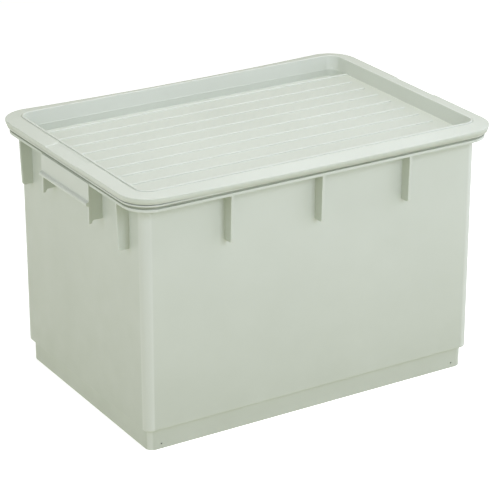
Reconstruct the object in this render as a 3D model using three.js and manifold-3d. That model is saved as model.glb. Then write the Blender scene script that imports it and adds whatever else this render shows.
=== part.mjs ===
// A large lidded stacking crate, injection-moulded in two pieces: a deep tub with a hand grip
// on each short side, and a tray-like lid that drops over the tub's rim and takes the foot of
// the next crate. Millimetres, +Z up, origin at the centre of the underside, long side along X.
import * as THREE from "three";
import { mergeVertices } from "three/addons/utils/BufferGeometryUtils.js";
import Module from "manifold-3d";

const wasm = await Module();
wasm.setup();

// Driving dimensions.
const length = 700;
const width = 494;
const height = 454.5;
const cornerRadius = 52;
const wallThickness = 3;
const lidThickness = 2.8;
const clearance = 0.3;
const cornerSteps = 4;

// Tub: foot, wall and rim. An inset is the distance in from the lid's outer edge.
const footInset = 36.5;
const footHeight = 33;
const footRadius = 13;
const wallInset = 29;
const wallDraft = 1.3;
const wallTopRadius = 17;
const wallFootRadius = 12.5;
const wallFoot = footHeight + 7;
const wallTop = height - 34.5;
const mouthInset = wallInset - 4;
const mouthBottom = height - 26.5;
const flangeInset = 6.75;
const flangeBottom = height - 28.5;
const flangeTop = height - 23.7;
const neckInset = 11;
const neckTop = height - 18.5;
const beadInset = 3.4;
const beadTop = height - 15.3;

// Lid: skirt, sloping rim, upright lip, tray and its gutters.
const skirtBottom = height - 16.5;
const rimEdgeInset = 2.8;
const rimEdgeTop = height - 5.7;
const rimCrestInset = 26.5;
const rimCrestTop = height - 1.3;
const lipOuterInset = 28.5;
const lipInnerInset = 31.5;
const lipRadius = 20;
const trayInset = 35.5;
const trayRadius = 18;
const panelTop = height - 24.5;
const gutterFloor = panelTop - 13.5;
const gutterEdge = 169;

// Stiffening ribs and the hand grips.
const ribThickness = 5;
const ribBottom = 345;
const ribOuterCorner = 6;
const sideRibSpacing = 171;
const endRibOffset = 170;
const gripWidth = 168;
const gripInset = 5;
const gripPlateThickness = 3;
const gripBeadBottom = 391;
const gripBeadHeight = 8;
const cheekBottom = 361;
const cheekFootWidth = 5;
const cheekRise = 5.5;

const crateColour = 0xc6ccc1;
const plastic = { color: crateColour, roughness: 0.5, metalness: 0 };

// One level ring of a moulding: a rounded rectangle, its inset, height and corner radius.
function ring(inset, z, radius = cornerRadius - inset) {
  return { inset, z, radius };
}

function ringPoints({ inset, radius }) {
  const centreX = length / 2 - inset - radius;
  const centreY = width / 2 - inset - radius;
  const outline = new THREE.Shape();
  outline.absarc(centreX, centreY, radius, 0, Math.PI / 2);
  outline.absarc(-centreX, centreY, radius, Math.PI / 2, Math.PI);
  outline.absarc(-centreX, -centreY, radius, Math.PI, 1.5 * Math.PI);
  outline.absarc(centreX, -centreY, radius, 1.5 * Math.PI, 2 * Math.PI);
  return outline.getPoints(cornerSteps);
}

// A closed body through a list of rings, from its lower cap to its upper cap.
function loft(rings) {
  const positions = [];
  const index = [];
  const outlines = rings.map(ringPoints);
  const count = outlines[0].length;
  outlines.forEach((outline, level) => {
    outline.forEach((point) => positions.push(point.x, point.y, rings[level].z));
  });
  for (let level = 0; level < rings.length - 1; level += 1) {
    for (let step = 0; step < count; step += 1) {
      const here = level * count + step;
      const next = level * count + ((step + 1) % count);
      index.push(here, next, next + count);
      index.push(here, next + count, here + count);
    }
  }
  const lowerCentre = positions.length / 3;
  const upperCentre = lowerCentre + 1;
  const upperStart = (rings.length - 1) * count;
  positions.push(0, 0, rings[0].z, 0, 0, rings[rings.length - 1].z);
  for (let step = 0; step < count; step += 1) {
    const next = (step + 1) % count;
    index.push(lowerCentre, next, step);
    index.push(upperCentre, upperStart + step, upperStart + next);
  }
  const geometry = new THREE.BufferGeometry();
  geometry.setAttribute("position", new THREE.Float32BufferAttribute(positions, 3));
  geometry.setIndex(index);
  return geometry;
}

function toSolid(geometry) {
  geometry.deleteAttribute("normal");
  geometry.deleteAttribute("uv");
  const merged = mergeVertices(geometry);
  return new wasm.Manifold(new wasm.Mesh({
    numProp: 3,
    vertProperties: new Float32Array(merged.attributes.position.array),
    triVerts: new Uint32Array(merged.index.array),
  }));
}

function toMesh(name, solid) {
  const cut = solid.getMesh();
  const geometry = new THREE.BufferGeometry();
  geometry.setAttribute("position", new THREE.Float32BufferAttribute(cut.vertProperties, 3));
  geometry.setIndex(Array.from(cut.triVerts));
  geometry.computeVertexNormals();
  const mesh = new THREE.Mesh(geometry, new THREE.MeshStandardMaterial(plastic));
  mesh.name = name;
  return mesh;
}

function box(sizeX, sizeY, sizeZ, x, y, z) {
  const geometry = new THREE.BoxGeometry(sizeX, sizeY, sizeZ);
  geometry.translate(x, y, z);
  return toSolid(geometry);
}

// A flat piece standing out from a wall. Its outline is drawn as (outward, up) from the middle of
// the crate, it is thick across that plane, and the turn about Z points its outward side.
function blade(outline, thickness, offset, turn) {
  const geometry = new THREE.ExtrudeGeometry(outline, {
    depth: thickness,
    bevelEnabled: false,
    curveSegments: 6,
  });
  geometry.rotateX(Math.PI / 2);
  geometry.translate(0, offset + thickness / 2, 0);
  geometry.rotateZ(turn);
  return toSolid(geometry);
}

// Height of the lid's sloping rim, whose slope carries on past both of its edges.
function rimTop(inset) {
  const slope = (rimCrestTop - rimEdgeTop) / (rimCrestInset - rimEdgeInset);
  return rimEdgeTop + slope * (inset - rimEdgeInset);
}

// Top of the tub's rim, which carries the lid.
function seatTop(inset) {
  return rimTop(inset) - lidThickness - clearance;
}

// The tub's outer surface from its underside up, over the rim and down to its inner floor.
function tubRings() {
  const skirtInset = neckInset + wallThickness;
  const wallFootInset = wallInset + wallDraft;
  const innerFootInset = footInset + wallThickness;
  const seatOuterInset = beadInset + 2.6;
  return [
    ring(footInset + 1.5, 0, footRadius - 1),
    ring(footInset, 1.5, footRadius),
    ring(footInset, footHeight, footRadius),
    ring(footInset - 2, wallFoot - 2.5, footRadius),
    ring(wallFootInset, wallFoot, wallFootRadius),
    ring(wallInset, wallTop, wallTopRadius),
    ring(mouthInset, mouthBottom),
    ring(mouthInset, seatTop(mouthInset) - wallThickness),
    ring(skirtInset, seatTop(skirtInset) - wallThickness),
    ring(skirtInset, flangeBottom),
    ring(flangeInset, flangeBottom),
    ring(flangeInset, flangeTop),
    ring(neckInset, flangeTop + 0.5),
    ring(neckInset, neckTop - 0.5),
    ring(beadInset + 0.5, neckTop),
    ring(beadInset, neckTop + 1.2),
    ring(beadInset + 0.6, beadTop - 0.4),
    ring(seatOuterInset, beadTop),
    ring(seatOuterInset, seatTop(seatOuterInset)),
    ring(mouthInset + 1, seatTop(mouthInset)),
    ring(mouthInset + wallThickness, seatTop(mouthInset) - 1.5),
    ring(mouthInset + wallThickness, mouthBottom + 1),
    ring(wallInset + wallThickness, wallTop + 1, wallTopRadius - wallThickness),
    ring(wallFootInset + wallThickness, wallFoot + wallThickness, wallFootRadius - wallThickness),
    ring(innerFootInset, wallFoot - 1, footRadius - wallThickness),
    ring(innerFootInset, wallThickness + 3, footRadius - wallThickness),
    ring(innerFootInset + 3, wallThickness, footRadius - wallThickness),
  ];
}

// Closes the outline of a blade along the middle of the wall: up behind the flange, back under
// the rim's top, and down the wall to where the outline began.
function closeAlongWall(outline, wallPlane) {
  const halfWall = wallThickness / 2;
  const outer = wallPlane - neckInset - 1;
  const top = seatTop(neckInset) - halfWall;
  const mouthPlane = wallPlane - mouthInset - halfWall;
  outline.lineTo(outer, flangeTop - 0.5);
  outline.lineTo(outer, top);
  outline.lineTo(mouthPlane, top);
  outline.lineTo(mouthPlane, mouthBottom);
  outline.lineTo(wallPlane - wallInset - halfWall, wallTop);
  outline.closePath();
}

// A rib's side view: a straight blade, a little shallower at its lower end.
function ribOutline(wallPlane) {
  const outerTop = wallPlane - flangeInset - 0.8;
  const outerBottom = outerTop - 2.5;
  const outline = new THREE.Shape();
  outline.moveTo(wallPlane - wallInset - wallThickness / 2, ribBottom);
  outline.lineTo(outerBottom - ribOuterCorner, ribBottom);
  outline.quadraticCurveTo(outerBottom, ribBottom, outerBottom, ribBottom + ribOuterCorner);
  outline.lineTo(outerTop, flangeBottom + 1.5);
  closeAlongWall(outline, wallPlane);
  return outline;
}

// A cheek closes each end of the hand grip. It is as deep as the grip plate, and its lower edge
// hooks down to a narrow foot at the outside.
function cheekOutline() {
  const outer = length / 2 - gripInset;
  const footInner = outer - cheekFootWidth;
  const hollow = cheekBottom + cheekRise;
  const outline = new THREE.Shape();
  outline.moveTo(length / 2 - wallInset - wallThickness / 2, hollow);
  outline.lineTo(footInner - 6, hollow);
  outline.quadraticCurveTo(footInner - 1, hollow, footInner, cheekBottom);
  outline.lineTo(outer, cheekBottom);
  outline.lineTo(outer, flangeTop - 0.5);
  closeAlongWall(outline, length / 2);
  return outline;
}

// The grip plate hangs from the flange in front of the fingers, with a round bead along its
// lower edge.
function gripOutline() {
  const outer = length / 2 - gripInset;
  const inner = outer - gripPlateThickness;
  const beadOuter = length / 2;
  const beadCorner = gripBeadHeight * 0.4;
  const beadTopLevel = gripBeadBottom + gripBeadHeight;
  const outline = new THREE.Shape();
  outline.moveTo(inner, gripBeadBottom);
  outline.lineTo(beadOuter - beadCorner, gripBeadBottom);
  outline.quadraticCurveTo(beadOuter, gripBeadBottom, beadOuter, gripBeadBottom + beadCorner);
  outline.lineTo(beadOuter, beadTopLevel - beadCorner);
  outline.quadraticCurveTo(beadOuter, beadTopLevel, beadOuter - beadCorner, beadTopLevel);
  outline.lineTo(outer, beadTopLevel + 1);
  outline.lineTo(outer, flangeTop - 0.5);
  outline.lineTo(inner, flangeTop - 0.5);
  outline.closePath();
  return outline;
}

function drainHole(x) {
  const holeRadius = 1.5;
  const holeHeight = 9.5;
  const geometry = new THREE.CylinderGeometry(holeRadius, holeRadius, width, 12);
  geometry.translate(x, 0, holeHeight);
  return toSolid(geometry);
}

function makeTub() {
  let tub = toSolid(loft(tubRings()));
  const longSides = [-Math.PI / 2, Math.PI / 2];
  const shortSides = [0, Math.PI];
  for (const turn of longSides) {
    for (const offset of [-sideRibSpacing, 0, sideRibSpacing]) {
      tub = tub.add(blade(ribOutline(width / 2), ribThickness, offset, turn));
    }
  }
  const cheekOffset = (gripWidth - ribThickness) / 2;
  for (const turn of shortSides) {
    for (const offset of [-endRibOffset, endRibOffset]) {
      tub = tub.add(blade(ribOutline(length / 2), ribThickness, offset, turn));
    }
    for (const offset of [-cheekOffset, cheekOffset]) {
      tub = tub.add(blade(cheekOutline(), ribThickness, offset, turn));
    }
    tub = tub.add(blade(gripOutline(), gripWidth, 0, turn));
  }
  for (const x of [-length / 2 + 60, length / 2 - 60]) {
    tub = tub.subtract(drainHole(x));
  }
  return toMesh("tub", tub);
}

// The lid's surface from the underside of its panel, out under the rim, round the skirt, and
// back over the rim and the lip to the top of the panel.
function lidRings() {
  const underTrayInset = trayInset - lidThickness + 0.4;
  const underLipInset = lipInnerInset - lidThickness;
  return [
    ring(underTrayInset + 3, panelTop - lidThickness, trayRadius),
    ring(underTrayInset, panelTop - lidThickness + 2, trayRadius),
    ring(underTrayInset - 0.6, panelTop + 6, trayRadius + 1),
    ring(underLipInset, rimCrestTop - lidThickness, lipRadius + 2),
    ring(mouthInset, rimTop(mouthInset) - lidThickness),
    ring(rimEdgeInset + 2, rimTop(rimEdgeInset + 2) - lidThickness),
    ring(rimEdgeInset, skirtBottom + 4),
    ring(rimEdgeInset, skirtBottom),
    ring(1.6, skirtBottom),
    ring(1.1, skirtBottom + 0.8),
    ring(0, rimEdgeTop - 2.6),
    ring(0.9, rimEdgeTop - 0.8),
    ring(rimEdgeInset, rimEdgeTop),
    ring(rimCrestInset, rimCrestTop),
    ring(rimCrestInset + 0.8, rimCrestTop - 1.2),
    ring(lipOuterInset - 0.4, rimCrestTop - 1.2),
    ring(lipOuterInset, height - 0.6),
    ring(lipOuterInset + 0.7, height),
    ring(lipInnerInset - 0.7, height, lipRadius),
    ring(lipInnerInset, height - 0.8, lipRadius),
    ring(trayInset - 0.5, panelTop + 6, trayRadius),
    ring(trayInset, panelTop + 1.5, trayRadius),
    ring(trayInset + 1.5, panelTop, trayRadius),
  ];
}

// A straight-sided block with the tray's plan shape, kept only beyond both long edges of the
// panel.
function gutterBlock(inset, bottom, top, innerEdge) {
  const block = toSolid(loft([
    ring(inset + 1.5, bottom, trayRadius),
    ring(inset, bottom + 1.5, trayRadius),
    ring(inset, top, trayRadius),
  ]));
  return block.subtract(box(length, 2 * innerEdge, height, 0, 0, height));
}

function panelRib(row) {
  const rowSpacing = 41.2;
  const lastRow = 4;
  const ribWidth = 3;
  const ribHeight = 2.5;
  const embed = 1;
  const plainMargin = 54;
  const endInset = Math.abs(row) === lastRow ? trayInset - embed : plainMargin;
  const ribLength = length - 2 * endInset;
  const centreZ = panelTop + (ribHeight - embed) / 2;
  return box(ribLength, ribWidth, ribHeight + embed, 0, row * rowSpacing, centreZ);
}

// A shallow step down in the rim at the middle of each short side, from the outer edge inwards.
function rimRecess(turn) {
  const recessWidth = 112;
  const recessDepth = 1.2;
  const recessInset = 22;
  const outline = new THREE.Shape();
  outline.moveTo(length / 2 + 1, rimTop(-1) - recessDepth);
  outline.lineTo(length / 2 + 1, height);
  outline.lineTo(length / 2 - recessInset, height);
  outline.lineTo(length / 2 - recessInset, rimTop(recessInset) - recessDepth);
  outline.closePath();
  return blade(outline, recessWidth, 0, turn);
}

function makeLid() {
  const panelRows = [-4, -3, -2, -1, 0, 1, 2, 3, 4];
  const outerEdge = gutterEdge - lidThickness;
  const outerInset = trayInset - lidThickness + 0.8;
  let lid = toSolid(loft(lidRings()));
  lid = lid.add(gutterBlock(outerInset, gutterFloor - lidThickness, panelTop - 0.5, outerEdge));
  lid = lid.subtract(gutterBlock(trayInset + 0.4, gutterFloor, panelTop + 5, gutterEdge));
  for (const row of panelRows) {
    lid = lid.add(panelRib(row));
  }
  for (const turn of [0, Math.PI]) {
    lid = lid.subtract(rimRecess(turn));
  }
  return toMesh("lid", lid);
}

const crate = new THREE.Group();
crate.add(makeTub());
crate.add(makeLid());

export default crate;
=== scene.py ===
"""A lidded stacking crate of pale grey-green moulded plastic, on a plain pale floor."""

import math

import bmesh
import bpy
from mathutils import Matrix, Vector


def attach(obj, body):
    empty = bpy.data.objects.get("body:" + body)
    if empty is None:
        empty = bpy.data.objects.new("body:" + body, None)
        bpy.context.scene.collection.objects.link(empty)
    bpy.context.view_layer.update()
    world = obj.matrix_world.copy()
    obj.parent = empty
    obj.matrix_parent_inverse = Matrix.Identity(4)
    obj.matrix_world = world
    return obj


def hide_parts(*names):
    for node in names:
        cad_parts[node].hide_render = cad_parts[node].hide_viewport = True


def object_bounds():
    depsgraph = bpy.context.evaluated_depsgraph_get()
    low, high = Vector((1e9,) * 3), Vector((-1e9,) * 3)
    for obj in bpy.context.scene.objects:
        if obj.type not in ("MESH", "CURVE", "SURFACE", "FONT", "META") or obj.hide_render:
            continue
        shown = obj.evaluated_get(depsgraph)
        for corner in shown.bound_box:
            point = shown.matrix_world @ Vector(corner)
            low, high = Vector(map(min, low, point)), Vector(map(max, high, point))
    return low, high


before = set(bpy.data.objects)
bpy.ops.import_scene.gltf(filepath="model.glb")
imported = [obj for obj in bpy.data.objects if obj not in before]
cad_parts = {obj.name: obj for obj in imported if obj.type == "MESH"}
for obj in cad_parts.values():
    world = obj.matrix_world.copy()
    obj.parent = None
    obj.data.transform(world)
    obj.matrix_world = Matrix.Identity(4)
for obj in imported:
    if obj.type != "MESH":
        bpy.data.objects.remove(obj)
cad_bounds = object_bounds()

MM = 0.001


def span(bounds, axis):
    """A box's size along one axis, in millimetres."""
    return (bounds[1][axis] - bounds[0][axis]) / MM


# Overall size, from the frame. Everything below is in millimetres, like the drawing of a moulding.
LENGTH = span(cad_bounds, 0)
WIDTH = span(cad_bounds, 1)
HEIGHT = span(cad_bounds, 2)
CORNER_RADIUS = 52

# Tub: an inset is the distance in from the lid's outer edge.
WALL = 3
FOOT_INSET = 36.5
FOOT_HEIGHT = 33
FOOT_RADIUS = 13
WALL_INSET = 29
WALL_DRAFT = 1.3
WALL_TOP_RADIUS = 17
WALL_FOOT_RADIUS = 12.5
WALL_FOOT = FOOT_HEIGHT + 7
WALL_TOP = HEIGHT - 34.5
MOUTH_INSET = WALL_INSET - 4
MOUTH_BOTTOM = HEIGHT - 26.5
FLANGE_INSET = 6.75
FLANGE_BOTTOM = HEIGHT - 28.5
FLANGE_TOP = HEIGHT - 23.7
NECK_INSET = 11
NECK_TOP = HEIGHT - 18.5
BEAD_INSET = 3.4
BEAD_TOP = HEIGHT - 15.3

# Lid.
LID_SHEET = 2.8
SKIRT_BOTTOM = HEIGHT - 16.5
RIM_EDGE_INSET = 2.8
RIM_EDGE_TOP = HEIGHT - 5.7
RIM_CREST_INSET = 26.5
RIM_CREST_TOP = HEIGHT - 1.3
LIP_OUTER_INSET = 28.5
LIP_INNER_INSET = 31.5
LIP_RADIUS = 20
TRAY_INSET = 35.5
TRAY_RADIUS = 18
PANEL_TOP = HEIGHT - 24.5
GUTTER_FLOOR = PANEL_TOP - 13.5
GUTTER_EDGE = 169
RIM_GROOVE = 1.2

# How the real lid has settled: its long edges sag, and each corner, given by the signs of its x
# and y, stands up by its own amount. The rim also steps down a little above each hand grip.
EDGE_SAG = 3.6
SAG_REACH = 60
CORNER_LIFTS = {(-1, -1): 3.4, (1, -1): 0, (-1, 1): 1.8, (1, 1): 0.8}
RECESS_EDGE = 56
RECESS_REACH = 24
RECESS_FADE = 2
RECESS_DEPTH = 1.4

# The panel's raised lines, in rows either side of the middle one.
LINE_SPACING = 41.2
LAST_LINE = 4
LINE_WIDTH = 4.4
LINE_RISE = 2.2
LINE_SUNK = 1.2
LINE_END_INSET = 54

# Ribs, hand grips and drain holes.
RIB_THICKNESS = 5
RIB_BOTTOM = 345
SIDE_RIB_SPACING = 171
END_RIB_OFFSET = 170
GRIP_WIDTH = 168
GRIP_INSET = 5
GRIP_PLATE = 3
BEAD_BOTTOM = 391
BEAD_HEIGHT = 8
CHEEK_BOTTOM = 361
CHEEK_FOOT = 5
CHEEK_RISE = 5.5
EDGE_ROUND = 0.8
OVERLAP = 0.8
DRAIN_RADIUS = 1.5
DRAIN_HEIGHT = 9.5
DRAIN_FROM_END = 60

# Mesh fineness. The marks are places along a side, outermost first, where the mesh has a
# row of points. They are close together where the rim steps down above a hand grip.
CORNER_STEPS = 18
SIDE_STEPS = 6
LONG_MARKS = tuple(range(200, -1, -40))
STEP_MARKS = tuple(range(RECESS_EDGE + RECESS_FADE, RECESS_EDGE - RECESS_FADE - 1, -1))
SHORT_MARKS = (100, 80, 60) + STEP_MARKS + (52, 26, 0)
FILLET_STEPS = 4
EDGE_SEGMENTS = 3
SMOOTH_ANGLE = math.radians(35)


# ---------------------------------------------------------------- rings and lofts


def ring(inset, z, radius=None, fillet=0.0):
    """One level of a moulding: inset, height, corner radius, and how round the turn there is."""
    if radius is None:
        radius = CORNER_RADIUS - inset
    return (inset, z, radius, fillet)


def turn_points(before, here, after):
    """The rings that round off one turn of a profile, or the turn itself if it stays sharp."""
    fillet = here[3]
    corner = Vector(here[:2])
    back = Vector(before[:2]) - corner
    ahead = Vector(after[:2]) - corner
    if fillet <= 0 or back.length < 1e-6 or ahead.length < 1e-6:
        return [here[:3]]
    opening = back.angle(ahead)
    if opening > math.pi - 0.02:
        return [here[:3]]
    reach = min(fillet / math.tan(opening / 2), 0.45 * back.length, 0.45 * ahead.length)
    start = corner + back.normalized() * reach
    end = corner + ahead.normalized() * reach
    points = []
    for step in range(FILLET_STEPS + 1):
        t = step / FILLET_STEPS
        point = start.lerp(corner, t).lerp(corner.lerp(end, t), t)
        points.append((point.x, point.y, here[2]))
    return points


def softened(profile):
    """A profile with each of its turns rounded off by its own fillet."""
    rings = []
    for index, here in enumerate(profile):
        before = profile[max(index - 1, 0)]
        after = profile[min(index + 1, len(profile) - 1)]
        rings.extend(turn_points(before, here, after))
    return rings


def stations(half_span, marks, steps):
    """Places along a straight side, from one end towards the other, without that other end.

    They are even from each end to the outermost mark, and then follow the marks.
    """
    outer = marks[0]
    near = [half_span + (outer - half_span) * step / steps for step in range(steps)]
    far = [-outer + (outer - half_span) * step / steps for step in range(steps)]
    return near + list(marks) + [-mark for mark in reversed(marks) if mark > 0] + far[1:]


def ring_outline(inset, radius):
    """A rounded rectangle's points, anticlockwise seen from above, in millimetres."""
    centre_x = LENGTH / 2 - inset - radius
    centre_y = WIDTH / 2 - inset - radius
    spans = [(centre_x, LONG_MARKS), (centre_y, SHORT_MARKS)]
    points = []
    for quarter in range(4):
        turn = Matrix.Rotation(quarter * math.pi / 2, 2)
        across, along = (centre_x, centre_y) if quarter % 2 == 0 else (centre_y, centre_x)
        for step in range(CORNER_STEPS):
            angle = step / CORNER_STEPS * math.pi / 2
            corner = Vector((across + radius * math.cos(angle), along + radius * math.sin(angle)))
            points.append(turn @ corner)
        half_span, marks = spans[quarter % 2]
        for place in stations(half_span, marks, SIDE_STEPS):
            points.append(turn @ Vector((place, along + radius)))
    return points


def loft(rings, move=None):
    """A closed bmesh through a list of (inset, z, radius), with a flat cap at each end."""
    made = bmesh.new()
    levels = []
    for inset, z, radius in rings:
        level = []
        for point in ring_outline(inset, radius):
            place = Vector((point.x, point.y, z))
            if move:
                place = move(place, inset)
            level.append(made.verts.new(place * MM))
        levels.append(level)
    count = len(levels[0])
    for lower, upper in zip(levels, levels[1:]):
        for step in range(count):
            after = (step + 1) % count
            made.faces.new((lower[step], lower[after], upper[after], upper[step]))
    made.faces.new(list(reversed(levels[0])))
    made.faces.new(levels[-1])
    return made


# ---------------------------------------------------------------- solids and cuts


def arc_points(centre, radius, start, end, steps):
    """Points on a circle from one angle to another, in degrees."""
    points = []
    for step in range(steps + 1):
        angle = math.radians(start + (end - start) * step / steps)
        points.append((centre[0] + radius * math.cos(angle), centre[1] + radius * math.sin(angle)))
    return points


def plate(outline, thickness, edge=EDGE_ROUND):
    """A flat piece with rounded edges. Its outline is (outward, up), and it is thick along Y."""
    made = bmesh.new()
    verts = [made.verts.new(Vector((u, -thickness / 2, v)) * MM) for u, v in outline]
    face = made.faces.new(verts)
    pushed = bmesh.ops.extrude_face_region(made, geom=[face])["geom"]
    moved = [item for item in pushed if isinstance(item, bmesh.types.BMVert)]
    bmesh.ops.translate(made, verts=moved, vec=Vector((0, thickness * MM, 0)))
    bmesh.ops.recalc_face_normals(made, faces=made.faces)
    rims = [e for e in made.edges if abs(e.verts[0].co.y - e.verts[1].co.y) < 1e-7]
    bmesh.ops.bevel(
        made,
        geom=rims,
        offset=edge * MM,
        segments=EDGE_SEGMENTS,
        profile=0.5,
        affect="EDGES",
        clamp_overlap=True,
    )
    return made


def block(size, centre, edge=EDGE_ROUND):
    """A box with rounded edges."""
    made = bmesh.new()
    bmesh.ops.create_cube(made, size=1)
    bmesh.ops.scale(made, verts=made.verts, vec=Vector(size) * MM)
    bmesh.ops.translate(made, verts=made.verts, vec=Vector(centre) * MM)
    if edge > 0:
        bmesh.ops.bevel(
            made,
            geom=list(made.edges),
            offset=edge * MM,
            segments=EDGE_SEGMENTS,
            profile=0.5,
            affect="EDGES",
            clamp_overlap=True,
        )
    return made


def placed(made, offset, turn):
    """Moves a piece along Y, then turns it about Z, so that +X becomes its outward side."""
    bmesh.ops.translate(made, verts=made.verts, vec=Vector((0, offset * MM, 0)))
    bmesh.ops.rotate(made, verts=made.verts, cent=Vector(), matrix=Matrix.Rotation(turn, 3, "Z"))
    return made


def as_object(made, name):
    """Puts a bmesh into the scene as an object, and frees the bmesh."""
    mesh = bpy.data.meshes.new(name)
    made.to_mesh(mesh)
    made.free()
    obj = bpy.data.objects.new(name, mesh)
    bpy.context.scene.collection.objects.link(obj)
    return obj


def joined(solids, name):
    """One object that holds several bmesh solids."""
    whole = bmesh.new()
    for solid in solids:
        mesh = bpy.data.meshes.new(name)
        solid.to_mesh(mesh)
        solid.free()
        whole.from_mesh(mesh)
        bpy.data.meshes.remove(mesh)
    return as_object(whole, name)


def combine(obj, other, operation):
    """Joins to an object, or cuts from it, another one, which is then gone."""
    modifier = obj.modifiers.new(operation.lower(), "BOOLEAN")
    modifier.operation = operation
    modifier.object = other
    modifier.solver = "EXACT"
    modifier.use_self = True
    graph = bpy.context.evaluated_depsgraph_get()
    result = bpy.data.meshes.new_from_object(obj.evaluated_get(graph))
    obj.modifiers.clear()
    obj.data = result
    bpy.data.objects.remove(other)


def finish_surface(obj, material):
    """Smooth shading with crisp turns, and the piece's material."""
    shape = bmesh.new()
    shape.from_mesh(obj.data)
    bmesh.ops.remove_doubles(shape, verts=shape.verts, dist=0.00001)
    bmesh.ops.dissolve_degenerate(shape, edges=shape.edges, dist=0.00001)
    for face in shape.faces:
        face.smooth = True
    for edge in shape.edges:
        edge.smooth = edge.calc_face_angle(0) < SMOOTH_ANGLE
    shape.to_mesh(obj.data)
    shape.free()
    obj.data.materials.clear()
    obj.data.materials.append(material)
    weighted = obj.modifiers.new("weighted normals", "WEIGHTED_NORMAL")
    weighted.keep_sharp = True
    weighted.weight = 80


# ---------------------------------------------------------------- shared heights


def rim_top(inset):
    """Height of the lid's sloping rim, whose slope carries on past both of its edges."""
    slope = (RIM_CREST_TOP - RIM_EDGE_TOP) / (RIM_CREST_INSET - RIM_EDGE_INSET)
    return RIM_EDGE_TOP + slope * (inset - RIM_EDGE_INSET)


def seat_top(inset):
    """Top of the tub's rim, low enough to clear a lid that sags between its corners."""
    return rim_top(inset) - LID_SHEET - EDGE_SAG


# ---------------------------------------------------------------- tub


def wall_rings():
    """Level rings up the tall wall, so that its large faces stay smooth where ribs join it."""
    levels = 9
    rings = []
    for step in range(1, levels):
        t = step / levels
        inset = WALL_INSET + WALL_DRAFT * (1 - t)
        radius = WALL_FOOT_RADIUS + (WALL_TOP_RADIUS - WALL_FOOT_RADIUS) * t
        rings.append(ring(inset, WALL_FOOT + (WALL_TOP - WALL_FOOT) * t, radius))
    return rings


def tub_profile():
    """The tub's surface from its underside up, over the rim and down to its inner floor."""
    skirt = NECK_INSET + WALL
    wall_foot = WALL_INSET + WALL_DRAFT
    inner_foot = FOOT_INSET + WALL
    seat_outer = BEAD_INSET + 2.6
    outside = [
        ring(FOOT_INSET + 8, 0, FOOT_RADIUS - 1),
        ring(FOOT_INSET, 0, FOOT_RADIUS, 1.6),
        ring(FOOT_INSET, FOOT_HEIGHT + 2.5, FOOT_RADIUS, 1.2),
        ring(wall_foot, WALL_FOOT - 2, WALL_FOOT_RADIUS, 3),
    ]
    rim = [
        ring(WALL_INSET, WALL_TOP, WALL_TOP_RADIUS, 2),
        ring(MOUTH_INSET, MOUTH_BOTTOM, None, 2),
        ring(MOUTH_INSET, seat_top(MOUTH_INSET) - WALL, None, 1.5),
        ring(skirt, seat_top(skirt) - WALL, None, 1.5),
        ring(skirt, FLANGE_BOTTOM, None, 0.4),
        ring(FLANGE_INSET, FLANGE_BOTTOM, None, 0.6),
        ring(FLANGE_INSET, FLANGE_TOP, None, 0.7),
        ring(NECK_INSET, FLANGE_TOP, None, 0.5),
        ring(NECK_INSET, NECK_TOP, None, 0.5),
        ring(BEAD_INSET, NECK_TOP, None, 1.2),
        ring(BEAD_INSET, BEAD_TOP, None, 1.2),
        ring(seat_outer, BEAD_TOP, None, 0.5),
        ring(seat_outer, seat_top(seat_outer), None, 0.6),
        ring(MOUTH_INSET + WALL, seat_top(MOUTH_INSET), None, 1.2),
        ring(MOUTH_INSET + WALL, MOUTH_BOTTOM + 1, None, 2),
    ]
    inside = [
        ring(WALL_INSET + WALL, WALL_TOP + 1, WALL_TOP_RADIUS - WALL, 2),
        ring(wall_foot + WALL, WALL_FOOT + WALL, WALL_FOOT_RADIUS - WALL, 3),
        ring(inner_foot, WALL_FOOT - 1, FOOT_RADIUS - WALL, 2),
        ring(inner_foot, WALL, FOOT_RADIUS - WALL, 3),
        ring(inner_foot + 10, WALL, FOOT_RADIUS - WALL),
    ]
    return outside + wall_rings() + rim + inside


def up_the_wall(wall_plane):
    """The hidden side of a blade: up behind the flange, back under the rim, down in the wall."""
    half = WALL / 2
    outer = wall_plane - NECK_INSET - 1
    top = seat_top(NECK_INSET) - half
    mouth_plane = wall_plane - MOUTH_INSET - half
    return [
        (outer, FLANGE_TOP - OVERLAP),
        (outer, top),
        (mouth_plane, top),
        (mouth_plane, MOUTH_BOTTOM),
        (wall_plane - WALL_INSET - half, WALL_TOP),
    ]


def rib_outline(wall_plane):
    """A straight rib, a little shallower at its lower end, where its outer corner is round."""
    outer_top = wall_plane - FLANGE_INSET - OVERLAP
    outer_bottom = outer_top - 2.5
    round_corner = 5
    corner_centre = (outer_bottom - round_corner, RIB_BOTTOM + round_corner)
    corner = arc_points(corner_centre, round_corner, -90, 0, 6)
    root = (wall_plane - WALL_INSET - WALL / 2, RIB_BOTTOM)
    return [root] + corner + [(outer_top, FLANGE_BOTTOM + 1.5)] + up_the_wall(wall_plane)


def cheek_outline():
    """A cheek closes an end of the hand grip; its lower edge hooks down to a narrow foot."""
    wall_plane = LENGTH / 2
    outer = wall_plane - GRIP_INSET
    hook = 5
    foot_inner = outer - CHEEK_FOOT
    hollow = CHEEK_BOTTOM + CHEEK_RISE
    curve = arc_points((foot_inner - hook, hollow - hook), hook, 90, 5, 6)
    root = (wall_plane - WALL_INSET - WALL / 2, hollow)
    foot = [(foot_inner + 0.5, CHEEK_BOTTOM), (outer, CHEEK_BOTTOM)]
    return [root] + curve + foot + [(outer, FLANGE_TOP - OVERLAP)] + up_the_wall(wall_plane)


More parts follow.
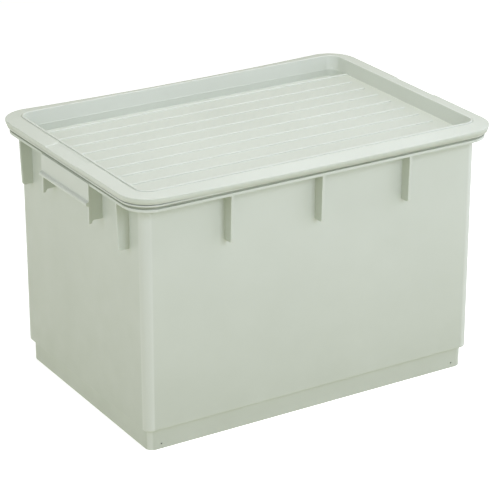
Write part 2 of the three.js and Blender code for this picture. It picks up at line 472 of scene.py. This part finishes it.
def grip_outline():
    """The grip plate hangs from the flange, with a round bead along its lower edge."""
    outer = LENGTH / 2 - GRIP_INSET
    inner = outer - GRIP_PLATE
    radius = BEAD_HEIGHT / 2 - 0.2
    bead_middle = BEAD_BOTTOM + BEAD_HEIGHT / 2
    bead = arc_points((LENGTH / 2 - radius, bead_middle), radius, -90, 90, 10)
    return [(inner, BEAD_BOTTOM)] + bead + [
        (outer, BEAD_BOTTOM + BEAD_HEIGHT + 1),
        (outer, FLANGE_TOP - OVERLAP),
        (inner, FLANGE_TOP - OVERLAP),
    ]


def drain_hole(x):
    """A small round cutter right across the foot."""
    made = bmesh.new()
    bmesh.ops.create_cone(
        made,
        cap_ends=True,
        segments=32,
        radius1=DRAIN_RADIUS * MM,
        radius2=DRAIN_RADIUS * MM,
        depth=WIDTH * MM,
    )
    across = Matrix.Rotation(math.pi / 2, 3, "X")
    bmesh.ops.rotate(made, verts=made.verts, cent=Vector(), matrix=across)
    bmesh.ops.translate(made, verts=made.verts, vec=Vector((x, 0, DRAIN_HEIGHT)) * MM)
    return made


def tub_fittings():
    """Every rib, cheek and grip plate, in place round the tub."""
    made = []
    for turn in (-math.pi / 2, math.pi / 2):
        for offset in (-SIDE_RIB_SPACING, 0, SIDE_RIB_SPACING):
            made.append(placed(plate(rib_outline(WIDTH / 2), RIB_THICKNESS), offset, turn))
    cheek = (GRIP_WIDTH - RIB_THICKNESS) / 2
    for turn in (0, math.pi):
        for offset in (-END_RIB_OFFSET, END_RIB_OFFSET):
            made.append(placed(plate(rib_outline(LENGTH / 2), RIB_THICKNESS), offset, turn))
        for offset in (-cheek, cheek):
            made.append(placed(plate(cheek_outline(), RIB_THICKNESS), offset, turn))
        made.append(placed(plate(grip_outline(), GRIP_WIDTH), 0, turn))
    return made


def make_tub(material):
    """The tub: its lofted shell, with the fittings joined on and the drain holes cut through."""
    tub = as_object(loft(softened(tub_profile())), "tub_moulding")
    combine(tub, joined(tub_fittings(), "fittings"), "UNION")
    end = LENGTH / 2 - DRAIN_FROM_END
    combine(tub, joined([drain_hole(x) for x in (-end, end)], "holes"), "DIFFERENCE")
    finish_surface(tub, material)
    return tub


# ---------------------------------------------------------------- lid


def smooth_step(low, high, value):
    """0 below low, 1 above high, and a smooth curve between them."""
    t = min(max((value - low) / (high - low), 0), 1)
    return t * t * (3 - 2 * t)


def corner_lift(x, y):
    """How far a large thin lid stands up off its seat, blended from its four corners."""
    total = 0
    for (side_x, side_y), lift in CORNER_LIFTS.items():
        share = (1 + side_x * 2 * x / LENGTH) * (1 + side_y * 2 * y / WIDTH) / 4
        total += share * lift
    return total


def settle(place, inset):
    """The lid's own shape: its rim rises at the corners, sags between them along the long edges,
    and steps down over both hand grips. The step fades out down the skirt."""
    rim = 1 - smooth_step(0, LIP_OUTER_INSET, inset)
    along_x = max(1 - (place.x / (LENGTH / 2 - CORNER_RADIUS)) ** 2, 0)
    at_long_edge = smooth_step(WIDTH / 2 - SAG_REACH, WIDTH / 2 - SAG_REACH / 2, abs(place.y))
    step_start = LENGTH / 2 - RECESS_REACH
    on_short_side = smooth_step(step_start, step_start + RECESS_FADE, abs(place.x))
    middle = 1 - smooth_step(RECESS_EDGE - RECESS_FADE, RECESS_EDGE + RECESS_FADE, abs(place.y))
    on_top = smooth_step(RIM_EDGE_TOP - 8, RIM_EDGE_TOP - 1, place.z)
    place.z += rim * (corner_lift(place.x, place.y) - EDGE_SAG * along_x * at_long_edge)
    place.z -= RECESS_DEPTH * middle * on_short_side * on_top
    return place


def lid_profile():
    """The lid from under its panel, out below the rim, round the skirt, and back to the panel."""
    under_tray = TRAY_INSET - LID_SHEET + 0.4
    under_lip = LIP_INNER_INSET - LID_SHEET
    under_rim = RIM_EDGE_INSET + 2
    return [
        ring(under_tray + 10, PANEL_TOP - LID_SHEET, TRAY_RADIUS),
        ring(under_tray, PANEL_TOP - LID_SHEET, TRAY_RADIUS, 2),
        ring(under_tray - 0.6, PANEL_TOP + 6, TRAY_RADIUS + 1, 4),
        ring(under_lip, RIM_CREST_TOP - LID_SHEET, LIP_RADIUS + 2, 0.8),
        ring(MOUTH_INSET, rim_top(MOUTH_INSET) - LID_SHEET),
        ring(under_rim, rim_top(under_rim) - LID_SHEET, None, 1.5),
        ring(RIM_EDGE_INSET, SKIRT_BOTTOM + 4),
        ring(RIM_EDGE_INSET + 0.4, SKIRT_BOTTOM, None, 0.4),
        ring(2.2, SKIRT_BOTTOM, None, 0.6),
        ring(0.6, SKIRT_BOTTOM + 5, None, 2),
        ring(0, RIM_EDGE_TOP - 2.6),
        ring(0, rim_top(0), None, 2.2),
        ring(12, rim_top(12)),
        ring(22, rim_top(22)),
        ring(23, rim_top(23)),
        ring(RIM_CREST_INSET, RIM_CREST_TOP, None, 0.6),
        ring(RIM_CREST_INSET + 0.8, RIM_CREST_TOP - RIM_GROOVE, None, 0.3),
        ring(LIP_OUTER_INSET - 0.4, RIM_CREST_TOP - RIM_GROOVE, None, 0.3),
        ring(LIP_OUTER_INSET, HEIGHT, None, 0.8),
        ring(LIP_INNER_INSET - 0.2, HEIGHT, LIP_RADIUS, 0.8),
        ring(TRAY_INSET, PANEL_TOP, TRAY_RADIUS, 1),
        ring(TRAY_INSET + 12, PANEL_TOP, TRAY_RADIUS),
    ]


def gutter_solid(inset, bottom, top, inner_edge, name):
    """A block with the tray's plan, kept only outside the panel's long edges."""
    rings = softened([
        ring(inset + 8, bottom, TRAY_RADIUS),
        ring(inset, bottom, TRAY_RADIUS, 2),
        ring(inset, top, TRAY_RADIUS),
        ring(inset + 8, top, TRAY_RADIUS),
    ])
    solid = as_object(loft(rings), name)
    middle = block((LENGTH, 2 * inner_edge, 200), (0, 0, HEIGHT - 50), 0)
    combine(solid, as_object(middle, "middle"), "DIFFERENCE")
    return solid


def panel_ribs():
    """The raised lines along the panel. The outermost pair runs from wall to wall."""
    made = []
    for row in range(-LAST_LINE, LAST_LINE + 1):
        end_inset = TRAY_INSET - 1 if abs(row) == LAST_LINE else LINE_END_INSET
        size = (LENGTH - 2 * end_inset, LINE_WIDTH, LINE_RISE + LINE_SUNK)
        middle = PANEL_TOP + (LINE_RISE - LINE_SUNK) / 2
        made.append(block(size, (0, row * LINE_SPACING, middle), LINE_WIDTH / 4))
    return made


def make_lid(material):
    """The lid: its lofted shell, with both gutters sunk into it and the panel's lines on top."""
    lid = as_object(loft(softened(lid_profile()), settle), "lid_moulding")
    under = TRAY_INSET - LID_SHEET + 0.8
    floor = GUTTER_FLOOR - LID_SHEET
    outer = gutter_solid(under, floor, PANEL_TOP - 1, GUTTER_EDGE - LID_SHEET, "outer")
    combine(lid, outer, "UNION")
    inner = gutter_solid(TRAY_INSET + 0.4, GUTTER_FLOOR, PANEL_TOP + 5, GUTTER_EDGE, "inner")
    combine(lid, inner, "DIFFERENCE")
    combine(lid, joined(panel_ribs(), "panel ribs"), "UNION")
    finish_surface(lid, material)
    return lid


# ---------------------------------------------------------------- material

# Base colours. The first two are the clean plastic, which clouds gently between them.
PLASTIC_DEEP = (0.56, 0.602, 0.515, 1)
PLASTIC_PALE = (0.585, 0.627, 0.54, 1)
# A darker tone, laid in blotches over the lower part and fading out upwards.
PLASTIC_DARKER_LOW = (0.49, 0.53, 0.44, 1)
# A paler tone, painted highlight: on the tub's rounded corners and grip plates, the lid's lip and
# the tops of the panel lines.
PLASTIC_HIGHLIGHT = (0.618, 0.657, 0.578, 1)
# A darker tone, painted shade: under the tub's bead and low on the lid's skirt.
PLASTIC_SHADE = (0.42, 0.455, 0.36, 1)


def noise(nodes, links, source, scale, detail, name):
    """Cloudy noise round 0.5, over the object's own metres."""
    node = nodes.new("ShaderNodeTexNoise")
    node.label = name
    node.inputs["Scale"].default_value = scale
    node.inputs["Detail"].default_value = detail
    links.new(source, node.inputs["Vector"])
    return node.outputs["Fac"]


def remap(nodes, links, source, low, high, to_low, to_high):
    """Stretches one range onto another, and holds the ends beyond it."""
    node = nodes.new("ShaderNodeMapRange")
    node.inputs["From Min"].default_value = low
    node.inputs["From Max"].default_value = high
    node.inputs["To Min"].default_value = to_low
    node.inputs["To Max"].default_value = to_high
    links.new(source, node.inputs["Value"])
    return node.outputs["Result"]


def calculate(nodes, links, operation, *values):
    """One step of arithmetic on one or two sockets."""
    node = nodes.new("ShaderNodeMath")
    node.operation = operation
    for value, socket in zip(values, node.inputs):
        links.new(value, socket)
    return node.outputs["Value"]


def mixed(nodes, links, factor, under, over):
    """Blends two colours by a factor socket. The first may be a plain colour or a socket."""
    node = nodes.new("ShaderNodeMix")
    node.data_type = "RGBA"
    links.new(factor, node.inputs["Factor"])
    if isinstance(under, tuple):
        node.inputs["A"].default_value = under
    else:
        links.new(under, node.inputs["A"])
    node.inputs["B"].default_value = over
    return node.outputs["Result"]


def height_band(nodes, links, across, low, high, fade):
    """1 between two heights, fading to 0 just beyond them."""
    rising = remap(nodes, links, across.outputs["Z"], (low - fade) * MM, low * MM, 0, 1)
    falling = remap(nodes, links, across.outputs["Z"], high * MM, (high + fade) * MM, 1, 0)
    return calculate(nodes, links, "MULTIPLY", rising, falling)


def past_lines(nodes, links, across, operation, inset, fade):
    """Goes from 0 to 1 past the two lines at an inset. MAXIMUM: past either, MINIMUM: past both."""
    sides = []
    for axis, size in (("X", LENGTH), ("Y", WIDTH)):
        away = calculate(nodes, links, "ABSOLUTE", across.outputs[axis])
        line = (size / 2 - inset) * MM
        sides.append(remap(nodes, links, away, line, line + fade * MM, 0, 1))
    return calculate(nodes, links, operation, *sides)


def tub_painted_light(nodes, links, across):
    """Painted highlight on the rounded corners and the grip plates, and painted shade under the
    bead.
    """
    # Painted highlight: the wall's rounded vertical corners are made paler.
    corner = past_lines(nodes, links, across, "MINIMUM", WALL_INSET + WALL_TOP_RADIUS, 2.5)
    # Painted highlight on the outer faces of the grip plates and their beads, and on whatever
    # stands out past them.
    along = calculate(nodes, links, "ABSOLUTE", across.outputs["X"])
    plate_face = (LENGTH / 2 - GRIP_INSET) * MM
    grip = remap(nodes, links, along, plate_face - 1.5 * MM, plate_face - 0.3 * MM, 0, 1)
    # Painted shade between the flange and the bead.
    groove = height_band(nodes, links, across, FLANGE_TOP + 0.3, NECK_TOP - 0.3, 0.5)
    return [(corner, PLASTIC_HIGHLIGHT), (grip, PLASTIC_HIGHLIGHT), (groove, PLASTIC_SHADE)]


def lid_painted_light(nodes, links, across):
    """Painted highlight on the lip and on the panel lines' tops up to the tray's walls, and painted
    shade low on the skirt.
    """
    # Painted highlight along the top of the lip.
    lip = height_band(nodes, links, across, HEIGHT - 0.9, HEIGHT, 0.3)
    # Painted highlight on the tops of the panel lines, kept inside the tray's walls.
    crests = height_band(nodes, links, across, PANEL_TOP + 1.4, PANEL_TOP + 3, 0.4)
    at_walls = past_lines(nodes, links, across, "MAXIMUM", TRAY_INSET + 4, 1)
    inside_walls = calculate(nodes, links, "SUBTRACT", crests, at_walls)
    crests = remap(nodes, links, inside_walls, 0, 1, 0, 1)
    # Painted shade low on the skirt, outside the lip.
    low = height_band(nodes, links, across, SKIRT_BOTTOM - 3, SKIRT_BOTTOM, 9)
    outside = past_lines(nodes, links, across, "MAXIMUM", LIP_OUTER_INSET - 2, 2)
    skirt = calculate(nodes, links, "MULTIPLY", low, outside)
    return [(lip, PLASTIC_HIGHLIGHT), (crests, PLASTIC_HIGHLIGHT), (skirt, PLASTIC_SHADE)]


def make_plastic(name, marks):
    """Satin moulded polypropylene: cloudy colour, a fine grain, painted highlights and painted
    shade, and darker blotches towards the bottom.
    """
    material = bpy.data.materials.new(name)
    material.use_nodes = True
    nodes = material.node_tree.nodes
    links = material.node_tree.links
    shader = nodes["Principled BSDF"]
    shader.inputs["IOR"].default_value = 1.49
    place = nodes.new("ShaderNodeTexCoord").outputs["Object"]
    across = nodes.new("ShaderNodeSeparateXYZ")
    links.new(place, across.inputs["Vector"])

    cloud = noise(nodes, links, place, 5, 4, "cloudy colour")
    blend = remap(nodes, links, cloud, 0.35, 0.65, 0, 1)
    colour = mixed(nodes, links, blend, PLASTIC_DEEP, PLASTIC_PALE)
    # Darker towards the bottom, in blotches, fading out a third of a metre up.
    low = remap(nodes, links, across.outputs["Z"], 0.0, 0.33, 1, 0)
    low_blotches = noise(nodes, links, place, 14, 6, "low_blotches")
    darker_low = calculate(nodes, links, "MULTIPLY", low, remap(nodes, links, low_blotches, 0.2, 0.8, 0.6, 1))
    colour = mixed(nodes, links, darker_low, colour, PLASTIC_DARKER_LOW)
    # Painted highlights and painted shade, each laid over its own mask.
    for mask, mark in marks(nodes, links, across):
        colour = mixed(nodes, links, mask, colour, mark)
    links.new(colour, shader.inputs["Base Color"])

    smudge = noise(nodes, links, place, 28, 5, "handling marks")
    links.new(remap(nodes, links, smudge, 0.3, 0.7, 0.42, 0.54), shader.inputs["Roughness"])

    grain = noise(nodes, links, place, 1400, 2, "mould grain")
    bump = nodes.new("ShaderNodeBump")
    bump.inputs["Strength"].default_value = 0.25
    bump.inputs["Distance"].default_value = 0.00012
    links.new(grain, bump.inputs["Height"])
    links.new(bump.outputs["Normal"], shader.inputs["Normal"])
    return material


# ---------------------------------------------------------------- studio

# The bounce is the light from all round, strong from below and weak from above. Powers are watts.
BOUNCE_BELOW = 0.91
BOUNCE_ABOVE = 0.26
BOUNCE_COLOUR = (0.99, 1, 0.83, 1)
COOL = (0.985, 1, 1.29)
NEUTRAL = (1.03, 1, 1.03)
FRONT_POWER = 11.9
RIGHT_POWER = 12.2
LEFT_POWER = 7.2
TOP_POWER = 22

# The camera is placed from the crate's centre, by angles in degrees and lengths in metres, and
# aims a little to the left and front of that centre.
CAMERA_AZIMUTH = -31.458
CAMERA_ELEVATION = 22.629
CAMERA_DISTANCE = 3.747
AIM_OFFSET = Vector((-0.0143, -0.0348, 0))
LENS = 157.86


def make_floor():
    """A white floor that shows only itself: it takes shadows but throws no light back."""
    made = bmesh.new()
    bmesh.ops.create_grid(made, x_segments=4, y_segments=4, size=30)
    floor = as_object(made, "floor")
    material = bpy.data.materials.new("pale_floor")
    material.use_nodes = True
    shader = material.node_tree.nodes["Principled BSDF"]
    shader.inputs["Base Color"].default_value = (0.9, 0.9, 0.9, 1)
    shader.inputs["Roughness"].default_value = 1
    shader.inputs["Specular IOR Level"].default_value = 0
    shader.inputs["Emission Color"].default_value = (1, 1, 1, 1)
    shader.inputs["Emission Strength"].default_value = 0.6
    floor.data.materials.append(material)
    floor.visible_diffuse = False


def aim(obj, target):
    """Turns a light or a camera to face a place."""
    obj.rotation_euler = (target - obj.location).to_track_quat("-Z", "Y").to_euler()


def area_light(name, place, target, size, power, colour):
    """A round soft light."""
    light = bpy.data.lights.new(name, "AREA")
    light.shape = "DISK"
    light.size = size
    light.energy = power
    light.color = colour
    obj = bpy.data.objects.new(name, light)
    obj.location = place
    bpy.context.scene.collection.objects.link(obj)
    aim(obj, target)


def around(azimuth, elevation, distance):
    """A step away from the crate: azimuth 0 is in front, and turns towards +X; in degrees."""
    azimuth = math.radians(azimuth)
    elevation = math.radians(elevation)
    level = math.cos(elevation)
    return distance * Vector((
        math.sin(azimuth) * level,
        -math.cos(azimuth) * level,
        math.sin(elevation),
    ))


def make_bounce():
    """Soft light from all round and below, as a white floor and white walls throw back."""
    world = bpy.data.worlds.new("soft_studio")
    world.use_nodes = True
    nodes = world.node_tree.nodes
    links = world.node_tree.links
    direction = nodes.new("ShaderNodeTexCoord")
    height = nodes.new("ShaderNodeSeparateXYZ")
    links.new(direction.outputs["Generated"], height.inputs["Vector"])
    strength = remap(nodes, links, height.outputs["Z"], -0.4, 0.6, BOUNCE_BELOW, BOUNCE_ABOVE)
    links.new(strength, nodes["Background"].inputs["Strength"])
    nodes["Background"].inputs["Color"].default_value = BOUNCE_COLOUR
    bpy.context.scene.world = world


def make_lights(centre):
    """A soft light from the front, from each side and from above, and the bounce."""
    make_bounce()
    area_light("front", centre + around(5, 30, 2.0), centre, 1.0, FRONT_POWER, COOL)
    area_light("right", centre + around(65, 30, 2.0), centre, 2.0, RIGHT_POWER, COOL)
    area_light("left", centre + around(-85, 30, 1.9), centre, 1.2, LEFT_POWER, COOL)
    area_light("top", centre + around(0, 88, 2.0), centre, 1.6, TOP_POWER, NEUTRAL)


def make_camera(centre):
    """A long lens, turned to the left of the long side and looking down."""
    target = centre + AIM_OFFSET
    camera = bpy.data.objects.new("camera", bpy.data.cameras.new("camera"))
    camera.data.sensor_width = 36
    camera.data.lens = LENS
    camera.location = target + around(CAMERA_AZIMUTH, CAMERA_ELEVATION, CAMERA_DISTANCE)
    bpy.context.scene.collection.objects.link(camera)
    aim(camera, target)
    bpy.context.scene.camera = camera


def main():
    """The whole scene: camera, lights and floor, then each moulding on its own body."""
    low, high = (Vector(corner) for corner in cad_bounds)
    centre = (low + high) / 2
    make_camera(centre)
    make_lights(centre)
    make_floor()
    bpy.context.scene.view_settings.view_transform = "Standard"
    for body, make, marks in (("tub", make_tub, tub_painted_light), ("lid", make_lid, lid_painted_light)):
        piece = make(make_plastic(body + "_plastic", marks))
        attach(piece, body)
        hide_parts(body)


main()
